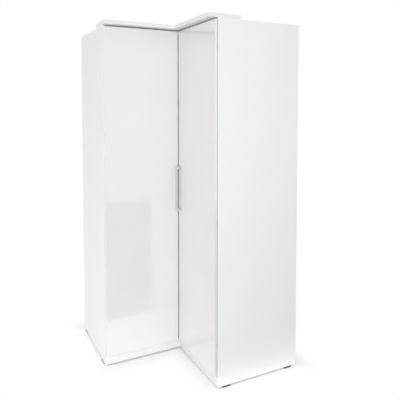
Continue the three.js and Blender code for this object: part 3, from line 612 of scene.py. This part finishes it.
# Concealed hinges: pressed cups let into the right leaf, links that swing out of them, and
# channel arms on plates screwed to the end panel.
CUP_SCREW_STEPS = (-24 * MM, 24 * MM)
PLATE_THICK = 2.5 * MM
PLATE_LINE = 37 * MM  # the plates' screws, behind the carcass's front edge
PLATE_SCREW_STEPS = (-16 * MM, 16 * MM)
ARM_SCREW_LINES = (21 * MM, 55 * MM)  # the arms' screws, behind that edge
cup_screws, plate_screws = [], []
for index in (1, 2, 3, 4):
    for part in ("cup", "link", "arm"):
        in_one_finish(f"hinge_{part}_{index}", nickel, ease_mm=0.3)
    low, middle, high = extent(f"hinge_cup_{index}")
    for step in CUP_SCREW_STEPS:
        cup_screws.append((Vector((high.x - HEAD_SUNK, middle.y, middle.z + step)), SIDE))
    low, middle, high = extent(f"hinge_arm_{index}")
    on_plate = low.y + PLATE_THICK - HEAD_SUNK
    for step in PLATE_SCREW_STEPS:
        plate_screws.append((Vector((plinth_front + PLATE_LINE, on_plate, middle.z + step)), REAR))
    for line in ARM_SCREW_LINES:
        plate_screws.append((Vector((plinth_front + line, high.y - HEAD_SUNK, middle.z)), REAR))
set_heads("hinge_cup_screws", cup_screws, "right_door",
          radius_mm=3.4, height_mm=1.2, recess_mm=0.8)
set_heads("hinge_plate_screws", plate_screws, "carcass",
          radius_mm=3.2, height_mm=1.2, recess_mm=0.8)

# Corner hinge: a rolled steel strip hinge the height of the leaves, its knuckles and pin in the
# inner corner, its flaps screwed to the leaves' ends.
# Browned steel, near black with a warm cast: painted shade, so that the knuckles read as the dark gap in
# the inner corner. It has a dull shine where it is rolled.
steel_painted_gap_shade, tree, shader, place = surface("browned_steel_painted_gap_shade")
# The near-black tones are painted shade for the gap in the inner corner.
tinted(tree, shader, mottle(tree, place, size_mm=20, detail=4), "#3b3836", "#4b4744")
shader.inputs["Metallic"].default_value = 1.0
sheen(tree, shader, mottle(tree, place, size_mm=5, detail=3, low=0.38, high=0.55))
relief(tree, shader, mottle(tree, place, size_mm=1.5, detail=2), depth_mm=0.01)
for node in ("corner_hinge_left_flap", "corner_hinge_right_flap", "corner_hinge_pin"):
    in_one_finish(node, steel_painted_gap_shade)
FLAP_THICK = 0.8 * MM
FLAP_SCREW_INSET = 4.5 * MM  # from a flap's free edge
FLAP_SCREW_PITCH = 124 * MM
for node, body, out in (("corner_hinge_left_flap", "left_door", SIDE),
                        ("corner_hinge_right_flap", "right_door", REAR)):
    low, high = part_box(node)
    count = int((high.z - low.z) / FLAP_SCREW_PITCH)
    outward = 0 if out == SIDE else 1
    flap_screws = []
    for step in range(count):
        spot = Vector((0, 0, low.z + (step + 0.5) * (high.z - low.z) / count))
        spot[outward] = low[outward] + FLAP_THICK - HEAD_SUNK
        spot[1 - outward] = high[1 - outward] - FLAP_SCREW_INSET
        flap_screws.append((spot, out))
    set_heads(node + "_screws", flap_screws, body,
              radius_mm=2.1, height_mm=0.4, recess_mm=0.5)

# Shelf pins: turned steel stems with a flat tab, pushed into the drilled rows. Each loose shelf
# lies on four of them.
for shelf in (1, 2):
    for side in ("left", "right"):
        for end in ("front", "rear"):
            in_one_finish(f"shelf_pin_{shelf}_{side}_{end}", nickel, ease_mm=0.2)

# Clothes rail: chromed oval tube held by a flange at one end and a hanger at the other.
# Chrome plate: hard bright mirror, faintly scuffed by hangers.
chrome, tree, shader, place = surface("chromed_steel_tube")
tinted(tree, shader, mottle(tree, place, size_mm=30, detail=3), "#c9cacb", "#d4d5d6")
shader.inputs["Metallic"].default_value = 1.0
sheen(tree, shader, mottle(tree, place, size_mm=7, detail=4, low=0.06, high=0.16))
in_one_finish("clothes_rail", chrome)
for node in ("rail_flange", "rail_hanger"):
    in_one_finish(node, nickel, ease_mm=0.4)
FLANGE_THICK = 3 * MM
FLANGE_SCREW_STEPS = (-20.4 * MM, 20.4 * MM)
HANGER_SCREW_STEPS = (-17 * MM, 17 * MM)
rail_screws = []
low, middle, high = extent("rail_flange")
on_flange = low.y + FLANGE_THICK - HEAD_SUNK
for step in FLANGE_SCREW_STEPS:
    rail_screws.append((Vector((middle.x, on_flange, middle.z + step)), REAR))
low, middle, high = extent("rail_hanger")
under_hanger = high.z - FLANGE_THICK + HEAD_SUNK
for step in HANGER_SCREW_STEPS:
    rail_screws.append((Vector((middle.x + step, middle.y, under_hanger)), UNDER))
set_heads("rail_screws", rail_screws, "carcass",
          radius_mm=2.7, height_mm=1.2, recess_mm=0.7)

# Catch: a magnet in a white plastic shell on the left end panel, and the steel plate behind the
# left leaf that it holds.
# Moulded white ABS: smooth and slightly glossy, with faint flow marks.
catch_shell, tree, shader, place = surface("moulded_white_abs")
tinted(tree, shader, mottle(tree, place, size_mm=15, detail=3), "#e2e2e0", "#ebebe9")
sheen(tree, shader, mottle(tree, place, size_mm=3, detail=2, low=0.3, high=0.42))
relief(tree, shader, mottle(tree, place, size_mm=1, detail=2), depth_mm=0.01)
in_one_finish("magnet_catch", catch_shell, ease_mm=1.0, steps=3, sharp_deg=30)
in_one_finish("catch_strike", nickel, ease_mm=0.3, sharp_deg=30)

# The magnet's two pole plates stand a hair out of the shell, towards the leaf.
POLE_STEPS = (-3.2 * MM, 3.2 * MM)
POLE_THICK = 1.8 * MM
POLE_DEPTH = 2 * MM
POLE_LENGTH = 36 * MM
POLE_PROUD = 0.15 * MM
POLE_EASE = 0.2 * MM
low, middle, high = extent("magnet_catch")
poles = bmesh.new()
for step in POLE_STEPS:
    place_and_size = (
        Matrix.Translation((middle.x + step, low.y + POLE_DEPTH / 2 - POLE_PROUD, middle.z))
        @ Matrix.Diagonal((POLE_THICK, POLE_DEPTH, POLE_LENGTH, 1)))
    bmesh.ops.create_cube(poles, size=1, matrix=place_and_size)
bmesh.ops.bevel(poles, geom=poles.edges, offset=POLE_EASE, segments=2, affect="EDGES")
pole_mesh = bpy.data.meshes.new("magnet_pole_plates")
poles.to_mesh(pole_mesh)
poles.free()
pole_mesh.materials.append(nickel)
piece = bpy.data.objects.new("magnet_pole_plates", pole_mesh)
scene.collection.objects.link(piece)
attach(piece, "carcass")

CATCH_SCREW_STEPS = (-15 * MM, 15 * MM)
catch_screws = []
for step in CATCH_SCREW_STEPS:
    catch_screws.append((Vector((high.x - HEAD_SUNK, middle.y, middle.z + step)), SIDE))
set_heads("magnet_catch_screws", catch_screws, "carcass",
          radius_mm=3.0, height_mm=1.2, recess_mm=0.7)
